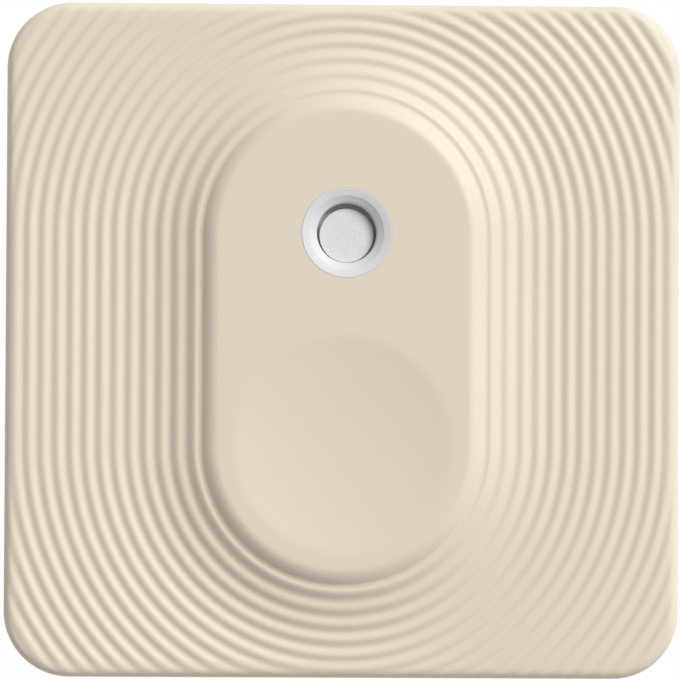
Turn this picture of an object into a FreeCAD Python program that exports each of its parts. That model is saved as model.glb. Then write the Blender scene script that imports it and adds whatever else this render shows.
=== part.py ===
import FreeCAD, Part
import math
import os
import Sketcher
from FreeCAD import Vector

# A battery-powered temperature and humidity sensor: a square ridged shell with an
# air port and a finger dish on a raised plateau, over a circuit board, a coin cell
# and a press-on back. It lies on its back at z = 0, and the photographed face is up.

# Driving sizes in millimetres
SIZES = {
    "side_width": 40.0,
    "corner_radius": 3.9,
    "rim_radius": 0.8,
    "shell_wall": 1.5,
    "cover_thickness": 1.0,
    "plateau_thickness": 1.5,
    "spine_half": 6.16,
    "plateau_radius": 7.22,
    "plateau_rise": 0.49,
    "plateau_bend": 0.78,
    "first_ridge": 8.74,
    "ridge_pitch": 0.853,
    "pitch_gain": 0.335,
    "pitch_fade": 0.6,
    "ridge_height": 0.11,
    "ridge_swell": 0.018,
    "ramp_radius": 13.3,
    "ramp_rise": 1.03,
    "envelope_gap": 0.03,
    "port_x": 0.16,
    "port_shift": 0.17,
    "lip_radius": 2.68,
    "lip_height": 0.03,
    "lip_round": 0.02,
    "lip_seat": 0.4,
    "lip_drop": 0.13,
    "shelf_radius": 2.2,
    "shelf_step": 0.06,
    "shelf_drop": 0.07,
    "bore_radius": 1.76,
    "bore_round": 0.24,
    "neck_radius": 2.3,
    "neck_clearance": 0.02,
    "ledge_radius": 1.0,
    "vent_radius": 1.6,
    "vent_thickness": 0.55,
    "vent_drop": 0.62,
    "vent_round": 0.04,
    "vent_shift": 0.14,
    "seal_thickness": 0.1,
    "seal_inset": 0.15,
    "boot_wall": 0.55,
    "boot_height": 1.5,
    "chip_clearance": 0.15,
    "dish_radius": 6.5,
    "dish_depth": 0.35,
    "pad_clearance": 0.06,
    "pad_skin": 1.3,
    "pad_flange": 0.7,
    "pad_rim": 1.6,
    "pad_rim_depth": 0.85,
    "post_radius": 1.3,
    "pocket_clearance": 0.35,
    "travel_clearance": 0.05,
    "boss_radius": 1.9,
    "boss_height": 2.38,
    "boss_inset": 2.6,
    "screw_radius": 0.7,
    "screw_head_radius": 1.4,
    "screw_head_height": 0.75,
    "screw_length": 2.6,
    "screw_slot_width": 0.32,
    "screw_slot_depth": 0.35,
    "screw_clearance": 0.03,
    "board_hole_clearance": 0.15,
    "board_thickness": 1.0,
    "board_clearance": 2.0,
    "board_corner": 1.5,
    "contact_space": 0.8,
    "cell_radius": 12.25,
    "cell_height": 7.7,
    "cell_gap": 0.3,
    "can_wall": 0.35,
    "can_round": 0.5,
    "can_shoulder": 0.45,
    "crimp_width": 0.75,
    "grommet_thickness": 0.25,
    "cap_wall": 0.3,
    "separator_thickness": 0.15,
    "cathode_height": 4.2,
    "cell_fill_gap": 0.05,
    "holder_clearance": 0.2,
    "holder_wall": 1.1,
    "holder_depth": 6.0,
    "holder_web": 0.4,
    "holder_window": 9.0,
    "notch_width": 5.0,
    "notch_depth": 2.6,
    "contact_strip": 0.2,
    "contact_gap": 0.05,
    "plus_width": 3.0,
    "plus_drop": 5.0,
    "plus_foot": 2.6,
    "plus_slot_clearance": 0.4,
    "minus_width": 3.2,
    "minus_foot": 2.6,
    "minus_reach": 8.0,
    "back_height": 3.0,
    "back_plate": 1.6,
    "back_edge_radius": 1.0,
    "parting_gap": 0.1,
    "wall_clearance": 0.1,
    "locating_wall": 1.2,
    "locating_height": 2.6,
    "back_seal_depth": 0.5,
    "back_seal_height": 0.8,
    "seal_room": 0.05,
    "coin_notch_width": 7.0,
    "coin_notch_height": 0.9,
    "coin_notch_depth": 1.2,
    "switch_side": 4.6,
    "switch_height": 1.5,
    "switch_frame_thickness": 0.15,
    "switch_cavity_radius": 1.8,
    "switch_floor": 0.5,
    "dome_radius": 1.6,
    "dome_rise": 0.3,
    "dome_thickness": 0.08,
    "stem_radius": 1.0,
    "stem_foot_radius": 1.35,
    "stem_foot_height": 0.28,
    "stem_gap": 0.03,
    "button_travel": 0.25,
}

# Board components: the side edge of the board that each keeps its distance from, that
# distance, its place along y, and its length along x, width along y and height
COMPONENTS = {
    "sensor_chip": (None, None, None, 2.5, 2.5, 0.9),
    "radio_chip": ("left", 6.9, -1.0, 5.0, 5.0, 0.85),
    "memory_chip": ("right", 5.9, -4.4, 3.9, 4.9, 1.4),
    "main_crystal": ("left", 6.3, 5.2, 2.5, 2.0, 0.6),
    "clock_crystal": ("left", 10.1, 8.6, 1.5, 3.2, 0.8),
    "chip_antenna": ("right", 2.3, 4.6, 2.2, 6.5, 1.0),
}

# Rows of small chips: side, distance from it, first place and step along y, copies,
# and each chip's length, width and height
CHIP_ROWS = {
    "capacitors": ("left", 2.6, -5.0, 1.9, 6, 1.0, 0.6, 0.5),
    "resistors": ("right", 10.1, -0.6, 1.7, 5, 1.0, 0.55, 0.4),
    "filter_coils": ("right", 5.7, 3.4, 2.0, 2, 1.6, 0.9, 0.8),
}

doc = FreeCAD.newDocument("TemperatureHumiditySensor")
size = doc.addObject("Spreadsheet::Sheet", "Size")


def store(alias, value):
    """Put one named plain number in the sheet."""
    store.row += 1
    size.set(f"A{store.row}", alias)
    size.set(f"B{store.row}", str(value))
    size.setAlias(f"B{store.row}", alias)


store.row = 0
for alias, value in SIZES.items():
    store(alias, value)
for name, (side, inset, y, length, width, height) in COMPONENTS.items():
    if side is not None:
        store(f"{name}_inset", inset)
        store(f"{name}_y", y)
    store(f"{name}_length", length)
    store(f"{name}_width", width)
    store(f"{name}_height", height)
for name, (side, inset, y, step, copies, length, width, height) in CHIP_ROWS.items():
    store(f"{name}_inset", inset)
    store(f"{name}_y", y)
    store(f"{name}_step", step)
    store(f"{name}_length", length)
    store(f"{name}_width", width)
    store(f"{name}_height", height)
doc.recompute()


def number(expression):
    """The present value of an expression on the sheet."""
    return float(size.evalExpression(expression))


# Heights of the stack from the back face up, as expressions on the sheet
BACK_INNER = "Size.back_plate"
SHELL_BOTTOM = "(Size.back_height + Size.parting_gap)"
LOCATING_TOP = "(Size.back_height + Size.locating_height)"
CELL_BOTTOM = f"({BACK_INNER} + Size.cell_gap)"
CELL_TOP = f"({CELL_BOTTOM} + Size.cell_height)"
BOARD_BOTTOM = f"({CELL_TOP} + Size.contact_space)"
BOARD_TOP = f"({BOARD_BOTTOM} + Size.board_thickness)"
CEILING = f"({BOARD_TOP} + Size.boss_height)"
RIDGE_LEVEL = f"({CEILING} + Size.cover_thickness)"
FOOT_LEVEL = f"({RIDGE_LEVEL} + Size.ramp_rise)"
PLATEAU = f"({FOOT_LEVEL} + Size.plateau_rise)"
PLATEAU_CEILING = f"({PLATEAU} - Size.plateau_thickness)"
LIP_TOP = f"({PLATEAU} + Size.lip_height)"
LIP_SEAT = f"({PLATEAU} - Size.lip_seat)"
ENVELOPE = f"({RIDGE_LEVEL} + Size.ridge_height / 2 + Size.envelope_gap)"

# Plan sizes that several pieces share
HALF = "(Size.side_width / 2)"
INNER_HALF = f"({HALF} - Size.shell_wall)"
LOCATING_HALF = f"({INNER_HALF} - Size.wall_clearance)"
BOARD_HALF = f"({INNER_HALF} - Size.board_clearance)"
BOSS_PLACE = f"({BOARD_HALF} - Size.boss_inset)"
PORT_Y = "(Size.spine_half + Size.port_shift)"
PAD_FLANGE_RADIUS = "(Size.dish_radius + Size.pad_flange)"
POCKET_RADIUS = f"({PAD_FLANGE_RADIUS} + Size.pocket_clearance)"
FIRST_PITCH = "(Size.ridge_pitch + Size.pitch_gain * (1 - Size.pitch_fade))"
RIDGE_FOOT = f"(Size.first_ridge - {FIRST_PITCH} / 2)"
HOLDER_INNER = "(Size.cell_radius + Size.holder_clearance)"
HOLDER_OUTER = f"({HOLDER_INNER} + Size.holder_wall)"


def new_body(label):
    """A PartDesign body whose label names the piece."""
    body = doc.addObject("PartDesign::Body", label)
    body.Label = label
    return body


def origin_feature(body, role):
    """One of the body's own origin planes or axes."""
    return next(f for f in body.Origin.OriginFeatures if f.Role == role)


def new_sketch(body, name, role="XY_Plane", offset="0"):
    """A sketch on one of the body's origin planes, moved along its normal."""
    sketch = body.newObject("Sketcher::SketchObject", f"{body.Label}_{name}")
    sketch.AttachmentSupport = (origin_feature(body, role), [""])
    sketch.MapMode = "FlatFace"
    sketch.setExpression(".AttachmentOffset.Base.z", offset)
    return sketch


def fix(sketch, constraints, expressions):
    """Add constraints together, and bind those that have an expression to the sheet."""
    first = sketch.ConstraintCount
    sketch.addConstraint(constraints)
    for i, expression in enumerate(expressions):
        if expression is not None:
            sketch.setExpression(f"Constraints[{first + i}]", expression)


def place_point(geometry, point, x, y):
    """Constraints that fix a point, each with its expression on the sheet."""
    found = []
    for kind, axis, expression in (("DistanceX", -2, x), ("DistanceY", -1, y)):
        if expression == "0":
            found.append((Sketcher.Constraint("PointOnObject", geometry, point, axis), None))
        else:
            value = number(expression)
            found.append((Sketcher.Constraint(kind, -1, 1, geometry, point, value), expression))
    return found


def arc_between(start, end, radius, turn):
    """A circular arc, anticlockwise when turn is 1 and clockwise when it is -1."""
    chord = end - start
    reach = math.sqrt(max(radius**2 - (chord.Length / 2) ** 2, 0.0))
    normal = Vector(-chord.y, chord.x, 0).normalize()
    centre = (start + end) * 0.5 + normal * reach * turn
    first, last = (start, end) if turn > 0 else (end, start)
    angles = [math.atan2(p.y - centre.y, p.x - centre.x) for p in (first, last)]
    if angles[1] < angles[0]:
        angles[1] += 2 * math.pi
    return Part.ArcOfCircle(Part.Circle(centre, Vector(0, 0, 1), radius), *angles)


def outline(sketch, corners):
    """A closed outline. Each corner is (x, y) or (x, y, radius, turn) with an arc to the next."""
    points = [Vector(number(c[0]), number(c[1]), 0) for c in corners]
    base = sketch.GeometryCount
    edges, ends, found = [], [], []
    for i, corner in enumerate(corners):
        start, end = points[i], points[(i + 1) % len(points)]
        if len(corner) == 2:
            edges.append(Part.LineSegment(start, end))
            ends.append((1, 2))
            continue
        radius, turn = corner[2:]
        edges.append(arc_between(start, end, number(radius), turn))
        ends.append((1, 2) if turn > 0 else (2, 1))
        found.append((Sketcher.Constraint("Radius", base + i, number(radius)), radius))
    for i, (first, last) in enumerate(ends):
        following = (i + 1) % len(ends)
        joined = Sketcher.Constraint("Coincident", base + i, last, base + following, ends[following][0])
        found.append((joined, None))
        found.extend(place_point(base + i, first, corners[i][0], corners[i][1]))
    sketch.addGeometry(edges)
    fix(sketch, *zip(*found))


def circle(sketch, radius, x="0", y="0"):
    """A circle with its centre and radius bound to the sheet."""
    centre = Vector(number(x), number(y), 0)
    geometry = sketch.addGeometry(Part.Circle(centre, Vector(0, 0, 1), number(radius)))
    found = [(Sketcher.Constraint("Radius", geometry, number(radius)), radius)]
    found.extend(place_point(geometry, 3, x, y))
    fix(sketch, *zip(*found))


def rectangle(sketch, length, width, x="0", y="0"):
    """A rectangle about a centre."""
    left, right = f"{x} - {length} / 2", f"{x} + {length} / 2"
    low, high = f"{y} - {width} / 2", f"{y} + {width} / 2"
    outline(sketch, [(left, low), (right, low), (right, high), (left, high)])


def rounded_square(sketch, half, radius):
    """A square with round corners about the origin."""
    near = f"({half} - {radius})"
    far = half
    outline(sketch, [
        (f"-{near}", f"-{far}"), (near, f"-{far}", radius, 1),
        (far, f"-{near}"), (far, near, radius, 1),
        (near, far), (f"-{near}", far, radius, 1),
        (f"-{far}", near), (f"-{far}", f"-{near}", radius, 1),
    ])


def stadium(sketch, radius, half):
    """Two half circles joined by straight sides, with their centres on the y axis."""
    outline(sketch, [
        (radius, f"-{half}"), (radius, half, radius, 1),
        ("0", f"{half} + {radius}", radius, 1), (f"-{radius}", half),
        (f"-{radius}", f"-{half}", radius, 1), ("0", f"-{half} - {radius}", radius, 1),
    ])


def pad(body, sketch, length, down=False, midplane=False):
    """Add material from a sketch."""
    feature = body.newObject("PartDesign::Pad", f"{sketch.Label}_pad")
    feature.Profile = sketch
    feature.setExpression("Length", length)
    feature.Reversed = down
    feature.Midplane = midplane
    body.Tip = feature
    doc.recompute()
    return feature


def pocket(body, sketch, length, up=False, midplane=False):
    """Take material away, along the sketch's back side unless up is set."""
    before = body.Shape.Volume
    feature = body.newObject("PartDesign::Pocket", f"{sketch.Label}_pocket")
    feature.Profile = sketch
    feature.setExpression("Length", length)
    feature.Reversed = up
    feature.Midplane = midplane
    body.Tip = feature
    doc.recompute()
    if body.Shape.Volume >= before:
        raise ValueError(f"{feature.Label} cuts nothing")
    return feature


def revolve(body, sketch):
    """Turn a sketch once round its vertical axis."""
    feature = body.newObject("PartDesign::Revolution", f"{sketch.Label}_turn")
    feature.Profile = sketch
    feature.ReferenceAxis = (sketch, ["V_Axis"])
    feature.Angle = 360
    body.Tip = feature
    doc.recompute()
    return feature


def round_edges(body, radius, chosen):
    """Round the edges that the test picks."""
    base = body.Tip
    names = [f"Edge{i}" for i, edge in enumerate(base.Shape.Edges, 1) if chosen(edge)]
    feature = body.newObject("PartDesign::Fillet", f"{body.Label}_round")
    feature.Base = (base, names)
    feature.setExpression("Radius", radius)
    body.Tip = feature
    doc.recompute()
    return feature


def at_level(level):
    """A test for edges that lie flat at one height."""
    height = number(level)

    def test(edge):
        box = edge.BoundBox
        return abs(box.ZMin - height) < 1e-4 and abs(box.ZMax - height) < 1e-4

    return test


def turned(label, corners):
    """A body of revolution about its own vertical axis."""
    body = new_body(label)
    sketch = new_sketch(body, "profile", "XZ_Plane")
    outline(sketch, corners)
    revolve(body, sketch)
    return body


def move(piece, x="0", y="0", z="0"):
    """Place a piece by expressions on the sheet."""
    for axis, expression in (("x", x), ("y", y), ("z", z)):
        piece.setExpression(f".Placement.Base.{axis}", expression)


# Ridges: crests at a pitch that is wider beside the plateau, on a base that climbs to it
def crest(i):
    """The distance of one ridge from the plateau's spine."""
    widening = f"Size.pitch_gain * (1 - Size.pitch_fade ^ {i})"
    return f"(Size.first_ridge + {i} * Size.ridge_pitch + {widening})"


def ridge_rise(i):
    """Half the height of the ridges, which grows towards the plateau with their pitch."""
    return f"((Size.ridge_height + Size.ridge_swell * Size.pitch_fade ^ ({i})) / 2)"


def base_level(distance):
    """The height of the ridges' mean surface at a distance from the spine."""
    share = f"max(0; (Size.ramp_radius - {distance}) / (Size.ramp_radius - {RIDGE_FOOT}))"
    return f"({RIDGE_LEVEL} + Size.ramp_rise * {share} ^ 2)"


def arc_radius(start, end, rise):
    """The radius of an arc over a chord that it stands off by a given rise."""
    chord = f"(({end[0]} - {start[0]}) ^ 2 + ({end[1]} - {start[1]}) ^ 2)"
    return f"(({chord} / 4 + ({rise}) ^ 2) / (2 * ({rise})))"


def corner_reach():
    """The largest distance from the spine that the outline reaches."""
    centre = number(f"{HALF} - Size.corner_radius")
    spine = number("Size.spine_half")
    return math.hypot(centre, centre - spine) + number("Size.corner_radius")


def ridge_profile():
    """Everything above the front surface, as corners of an outline from the spine outwards."""
    top = f"({PLATEAU} + Size.plateau_rise)"
    count = 1
    while number(crest(count - 1)) < corner_reach():
        count += 1
    crossings = [f"({RIDGE_FOOT} + {FIRST_PITCH} / 4)"]
    for i in range(count - 1):
        crossings.append(f"({crest(i)} + 0.25 * ({crest(i + 1)} - {crest(i)}))")
        crossings.append(f"({crest(i)} + 0.75 * ({crest(i + 1)} - {crest(i)}))")
    points = [(x, base_level(x)) for x in crossings]
    foot = (RIDGE_FOOT, f"({base_level(RIDGE_FOOT)} - {ridge_rise(-0.5)})")
    edge = ("Size.plateau_radius", PLATEAU)
    bend = (f"({edge[0]} + Size.plateau_bend * ({foot[0]} - {edge[0]}))",
            f"({edge[1]} - Size.plateau_bend * ({edge[1]} - {foot[1]}))")

    def flat_start(start, end):
        """The radius of an arc that leaves one of its ends level."""
        run = f"({end[0]} - {start[0]})"
        drop = f"abs({end[1]} - {start[1]})"
        return f"(({run} ^ 2 + {drop} ^ 2) / (2 * {drop}))"

    corners = [("0", PLATEAU), (*edge, flat_start(edge, bend), -1),
               (*bend, flat_start(bend, foot), 1), (*foot, flat_start(foot, points[0]), 1)]
    for i, (start, end) in enumerate(zip(points, points[1:])):
        corners.append((*start, arc_radius(start, end, ridge_rise(i / 2)), -1 if i % 2 == 0 else 1))
    corners.append(points[-1])
    corners.append((points[-1][0], top))
    corners.append(("0", top))
    return corners


def mirrored(body, feature, role):
    """Repeat a feature across one of the body's origin planes."""
    mirror = body.newObject("PartDesign::Mirrored", f"{feature.Label}_mirrored")
    mirror.Originals = [feature]
    mirror.MirrorPlane = (origin_feature(body, role), [""])
    body.Tip = mirror
    doc.recompute()


def cut_ridges(body):
    """Cut the front surface: half turns at the spine's two ends and straight runs between."""
    section = new_sketch(body, "ridge_section", "XZ_Plane", "-Size.spine_half")
    outline(section, ridge_profile())
    turn = body.newObject("PartDesign::Groove", "ridges_end")
    turn.Profile = section
    turn.ReferenceAxis = (section, ["V_Axis"])
    turn.Angle = 180
    body.Tip = turn
    doc.recompute()
    mirrored(body, turn, "XZ_Plane")
    run = pocket(body, section, "2 * Size.spine_half", up=True)
    mirrored(body, run, "YZ_Plane")


def boss_circles(sketch, radius):
    """One circle at each of the board's four screws."""
    for x in (f"-{BOSS_PLACE}", BOSS_PLACE):
        for y in (f"-{BOSS_PLACE}", BOSS_PLACE):
            circle(sketch, radius, x, y)


# Front cover: ridged shell with openings for the port ring and the press pad
def make_front_cover():
    body = new_body("front_cover")
    outer = new_sketch(body, "outer", offset=SHELL_BOTTOM)
    rounded_square(outer, HALF, "Size.corner_radius")
    pad(body, outer, f"{ENVELOPE} - {SHELL_BOTTOM}")
    round_edges(body, "Size.rim_radius", at_level(ENVELOPE))
    raised = new_sketch(body, "raised", offset=CEILING)
    stadium(raised, f"min(Size.ramp_radius; {HALF} - Size.spine_half - Size.rim_radius)",
            "Size.spine_half")
    pad(body, raised, f"{PLATEAU} + Size.plateau_rise / 2 - {CEILING}")
    cut_ridges(body)
    cavity = new_sketch(body, "cavity", offset=SHELL_BOTTOM)
    rounded_square(cavity, INNER_HALF, "max(0.4; Size.corner_radius - Size.shell_wall)")
    pocket(body, cavity, f"{CEILING} - {SHELL_BOTTOM}", up=True)
    hollow = new_sketch(body, "plateau_hollow", offset=CEILING)
    stadium(hollow, POCKET_RADIUS, "Size.spine_half")
    pocket(body, hollow, f"{PLATEAU_CEILING} - {CEILING}", up=True)
    port = new_sketch(body, "port", offset=PLATEAU_CEILING)
    circle(port, "Size.neck_radius + Size.neck_clearance", "Size.port_x", PORT_Y)
    pocket(body, port, f"{LIP_TOP} - {PLATEAU_CEILING}", up=True)
    seat = new_sketch(body, "port_seat", offset=LIP_SEAT)
    circle(seat, "Size.lip_radius + Size.neck_clearance", "Size.port_x", PORT_Y)
    pocket(body, seat, f"{LIP_TOP} - {LIP_SEAT}", up=True)
    dish = new_sketch(body, "dish", offset=PLATEAU_CEILING)
    circle(dish, "Size.dish_radius + Size.pad_clearance", "0", "-Size.spine_half")
    pocket(body, dish, f"{LIP_TOP} - {PLATEAU_CEILING}", up=True)
    bosses = new_sketch(body, "bosses", offset=CEILING)
    boss_circles(bosses, "Size.boss_radius")
    pad(body, bosses, "Size.boss_height", down=True)
    pilots = new_sketch(body, "pilots", offset=BOARD_TOP)
    boss_circles(pilots, "Size.screw_radius + Size.screw_clearance")
    pocket(body, pilots, "Size.screw_length - Size.board_thickness + 2 * Size.screw_clearance", up=True)
    return body


# Back cover: tray with a locating wall that slides into the shell
def make_back_cover():
    body = new_body("back_cover")
    outer = new_sketch(body, "outer")
    rounded_square(outer, HALF, "Size.corner_radius")
    pad(body, outer, "Size.back_height")
    round_edges(body, "min(Size.back_edge_radius; Size.back_height - 1)", at_level("0"))
    wall_corner = "max(0.4; Size.corner_radius - Size.shell_wall - Size.wall_clearance)"
    wall = new_sketch(body, "locating_wall", offset="Size.back_height")
    rounded_square(wall, LOCATING_HALF, wall_corner)
    pad(body, wall, "Size.locating_height")
    tray = new_sketch(body, "tray", offset=LOCATING_TOP)
    rounded_square(tray, f"({LOCATING_HALF} - Size.locating_wall)",
                   "max(0.3; Size.corner_radius - Size.shell_wall - Size.locating_wall)")
    pocket(body, tray, f"{LOCATING_TOP} - {BACK_INNER}")
    groove_low = f"({LOCATING_TOP} - Size.locating_height / 2 - Size.back_seal_height / 2 - Size.seal_room)"
    groove = new_sketch(body, "seal_groove", offset=groove_low)
    rounded_square(groove, f"({LOCATING_HALF} + Size.wall_clearance)", wall_corner)
    rounded_square(groove, f"({LOCATING_HALF} - Size.back_seal_depth)",
                   f"max(0.3; {wall_corner} - Size.back_seal_depth)")
    pocket(body, groove, "Size.back_seal_height + 2 * Size.seal_room", up=True)
    notch = new_sketch(body, "coin_notch", offset="Size.back_height")
    rectangle(notch, "Size.coin_notch_width", "2 * Size.coin_notch_depth", "0", f"-{HALF}")
    pocket(body, notch, "Size.coin_notch_height")
    return body


# Back seal: square ring in the locating wall's groove
def make_back_seal():
    body = new_body("back_seal")
    low = f"({LOCATING_TOP} - Size.locating_height / 2 - Size.back_seal_height / 2)"
    outer_half = f"({INNER_HALF} - Size.seal_room)"
    inner_half = f"({LOCATING_HALF} - Size.back_seal_depth + Size.seal_room)"
    ring = new_sketch(body, "ring", offset=low)
    rounded_square(ring, outer_half, "max(0.35; Size.corner_radius - Size.shell_wall - Size.seal_room)")
    rounded_square(ring, inner_half,
                   "max(0.3; Size.corner_radius - Size.shell_wall - Size.wall_clearance"
                   " - Size.back_seal_depth)")
    pad(body, ring, "Size.back_seal_height")
    return body


# Air port: ring pressed into the cover, filter disc on its ledge, seal below the disc
NECK_BOTTOM = f"({BOARD_TOP} + Size.boot_height)"
SLOPE_END = f"({LIP_TOP} - Size.lip_drop)"
STEP_END = f"({SLOPE_END} - Size.shelf_step)"
SHELF_END = f"({STEP_END} - Size.shelf_drop)"
VENT_TOP = f"({SHELF_END} - Size.vent_drop)"
VENT_BOTTOM = f"({VENT_TOP} - Size.vent_thickness)"
LEDGE_TOP = f"({VENT_BOTTOM} - Size.seal_thickness)"
VENT_Y = f"({PORT_Y} - Size.vent_shift)"


def make_port_ring():
    body = turned("port_ring", [
        ("Size.ledge_radius", NECK_BOTTOM),
        ("Size.neck_radius", NECK_BOTTOM),
        ("Size.neck_radius", LIP_SEAT),
        ("Size.lip_radius", LIP_SEAT),
        ("Size.lip_radius", f"{LIP_TOP} - Size.lip_round", "Size.lip_round", 1),
        ("Size.lip_radius - Size.lip_round", LIP_TOP),
        ("Size.shelf_radius", SLOPE_END),
        ("Size.shelf_radius - Size.shelf_step", STEP_END),
        ("Size.bore_radius + Size.bore_round", SHELF_END, "Size.bore_round", 1),
        ("Size.bore_radius", f"{SHELF_END} - Size.bore_round"),
        ("Size.bore_radius", LEDGE_TOP),
        ("Size.ledge_radius", LEDGE_TOP),
    ])
    move(body, "Size.port_x", PORT_Y)


def make_vent_disc():
    body = turned("vent_disc", [
        ("0", VENT_BOTTOM),
        ("Size.vent_radius", VENT_BOTTOM),
        ("Size.vent_radius", f"{VENT_TOP} - Size.vent_round", "Size.vent_round", 1),
        ("Size.vent_radius - Size.vent_round", VENT_TOP),
        ("0", VENT_TOP),
    ])
    move(body, "Size.port_x", VENT_Y)


def make_filter_seal():
    inner, outer = "Size.ledge_radius + Size.seal_inset", "Size.vent_radius - Size.seal_inset"
    body = turned("filter_seal", [
        (inner, LEDGE_TOP), (outer, LEDGE_TOP), (outer, VENT_BOTTOM), (inner, VENT_BOTTOM),
    ])
    move(body, "Size.port_x", VENT_Y)


def make_sensor_boot():
    inner = ("(sqrt(Size.sensor_chip_length ^ 2 + Size.sensor_chip_width ^ 2) / 2"
             " + Size.chip_clearance)")
    outer = f"({inner} + Size.boot_wall)"
    body = turned("sensor_boot", [
        (inner, BOARD_TOP), (outer, BOARD_TOP), (outer, NECK_BOTTOM), (inner, NECK_BOTTOM),
    ])
    move(body, "Size.port_x", PORT_Y)


# Press pad: dished web with a rim under the cover and a post on the switch
SWITCH_TOP = f"({BOARD_TOP} + Size.switch_height)"
FRAME_TOP = f"({SWITCH_TOP} + Size.switch_frame_thickness)"
STEM_TOP = f"({FRAME_TOP} + Size.button_travel + Size.dome_rise)"


def make_press_pad():
    rim_top = f"({PLATEAU_CEILING} - Size.travel_clearance)"
    rim_bottom = f"({PLATEAU_CEILING} - Size.pad_rim_depth)"
    skin = f"({PLATEAU} - Size.pad_skin)"
    inner = f"({PAD_FLANGE_RADIUS} - Size.pad_rim)"
    dish = "((Size.dish_radius ^ 2 + Size.dish_depth ^ 2) / (2 * Size.dish_depth))"
    body = turned("press_pad", [
        ("0", STEM_TOP),
        ("Size.post_radius", STEM_TOP),
        ("Size.post_radius", skin),
        (inner, skin),
        (inner, rim_bottom),
        (PAD_FLANGE_RADIUS, rim_bottom),
        (PAD_FLANGE_RADIUS, rim_top),
        ("Size.dish_radius", rim_top),
        ("Size.dish_radius", PLATEAU, dish, -1),
        ("0", f"{PLATEAU} - Size.dish_depth"),
    ])
    move(body, "0", "-Size.spine_half")


# Tactile switch below the dish
CAVITY_FLOOR = f"({BOARD_TOP} + Size.switch_floor)"
DOME_TOP = f"({CAVITY_FLOOR} + Size.dome_rise)"


def make_switch_base():
    body = new_body("switch_base")
    block = new_sketch(body, "block", offset=BOARD_TOP)
    rectangle(block, "Size.switch_side", "Size.switch_side")
    pad(body, block, "Size.switch_height")
    cavity = new_sketch(body, "cavity", offset=SWITCH_TOP)
    circle(cavity, "Size.switch_cavity_radius")
    pocket(body, cavity, f"{SWITCH_TOP} - {CAVITY_FLOOR}")
    move(body, "0", "-Size.spine_half")


def make_switch_frame():
    body = new_body("switch_frame")
    plate = new_sketch(body, "plate", offset=SWITCH_TOP)
    rectangle(plate, "Size.switch_side", "Size.switch_side")
    circle(plate, "Size.stem_radius + Size.pad_clearance")
    pad(body, plate, "Size.switch_frame_thickness")
    move(body, "0", "-Size.spine_half")


def make_switch_dome():
    outer = "((Size.dome_radius ^ 2 + Size.dome_rise ^ 2) / (2 * Size.dome_rise))"
    inner_radius = "(Size.dome_radius - 2 * Size.dome_thickness)"
    inner_rise = "(Size.dome_rise - Size.dome_thickness)"
    inner = f"(({inner_radius} ^ 2 + {inner_rise} ^ 2) / (2 * {inner_rise}))"
    body = turned("switch_dome", [
        (inner_radius, CAVITY_FLOOR),
        ("Size.dome_radius", CAVITY_FLOOR, outer, 1),
        ("0", DOME_TOP),
        ("0", f"{DOME_TOP} - Size.dome_thickness", inner, -1),
    ])
    move(body, "0", "-Size.spine_half")


def make_switch_stem():
    foot = f"({DOME_TOP} + Size.stem_gap)"
    foot_top = f"({foot} + Size.stem_foot_height)"
    body = turned("switch_stem", [
        ("0", foot), ("Size.stem_foot_radius", foot), ("Size.stem_foot_radius", foot_top),
        ("Size.stem_radius", foot_top), ("Size.stem_radius", STEM_TOP), ("0", STEM_TOP),
    ])
    move(body, "0", "-Size.spine_half")


# Circuit board with its screws and components
def make_circuit_board():
    body = new_body("circuit_board")
    plate = new_sketch(body, "plate", offset=BOARD_BOTTOM)
    rounded_square(plate, BOARD_HALF, "Size.board_corner")
    boss_circles(plate, "Size.screw_radius + Size.board_hole_clearance")
    pad(body, plate, "Size.board_thickness")


def make_board_screws():
    body = new_body("board_screws")
    heads = new_sketch(body, "heads", offset=BOARD_BOTTOM)
    boss_circles(heads, "Size.screw_head_radius")
    pad(body, heads, "Size.screw_head_height", down=True)
    shanks = new_sketch(body, "shanks", offset=BOARD_BOTTOM)
    boss_circles(shanks, "Size.screw_radius")
    pad(body, shanks, "Size.screw_length")
    low = f"{BOARD_BOTTOM} - Size.screw_head_height"
    for name, length, width in (("slot_across", "2 * Size.screw_radius", "Size.screw_slot_width"),
                                ("slot_along", "Size.screw_slot_width", "2 * Size.screw_radius")):
        slots = new_sketch(body, name, offset=low)
        for x in (f"-{BOSS_PLACE}", BOSS_PLACE):
            for y in (f"-{BOSS_PLACE}", BOSS_PLACE):
                rectangle(slots, length, width, x, y)
        pocket(body, slots, "Size.screw_slot_depth", up=True)


def beside_edge(name, side):
    """The place along x of what keeps its distance from one side edge of the board."""
    if side == "left":
        return f"(Size.{name}_inset - {BOARD_HALF})"
    return f"({BOARD_HALF} - Size.{name}_inset)"


def make_component(name):
    """One chip on the board, with its place and sizes on the sheet."""
    side = COMPONENTS[name][0]
    if side is None:
        x, y = "Size.port_x", PORT_Y
    else:
        x, y = beside_edge(name, side), f"Size.{name}_y"
    body = new_body(name)
    block = new_sketch(body, "block", offset=BOARD_TOP)
    rectangle(block, f"Size.{name}_length", f"Size.{name}_width")
    pad(body, block, f"Size.{name}_height")
    top = f"({BOARD_TOP} + Size.{name}_height)"
    mark = new_sketch(body, "mark", offset=top)
    half_length, half_width = f"Size.{name}_length / 2", f"Size.{name}_width / 2"
    if name == "sensor_chip":
        circle(mark, f"{half_width} / 2")
    else:
        circle(mark, f"{half_width} / 5", f"-{half_length} * 0.6", f"{half_width} * 0.6")
    pocket(body, mark, f"Size.{name}_height / 8")
    move(body, x, y)


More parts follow.
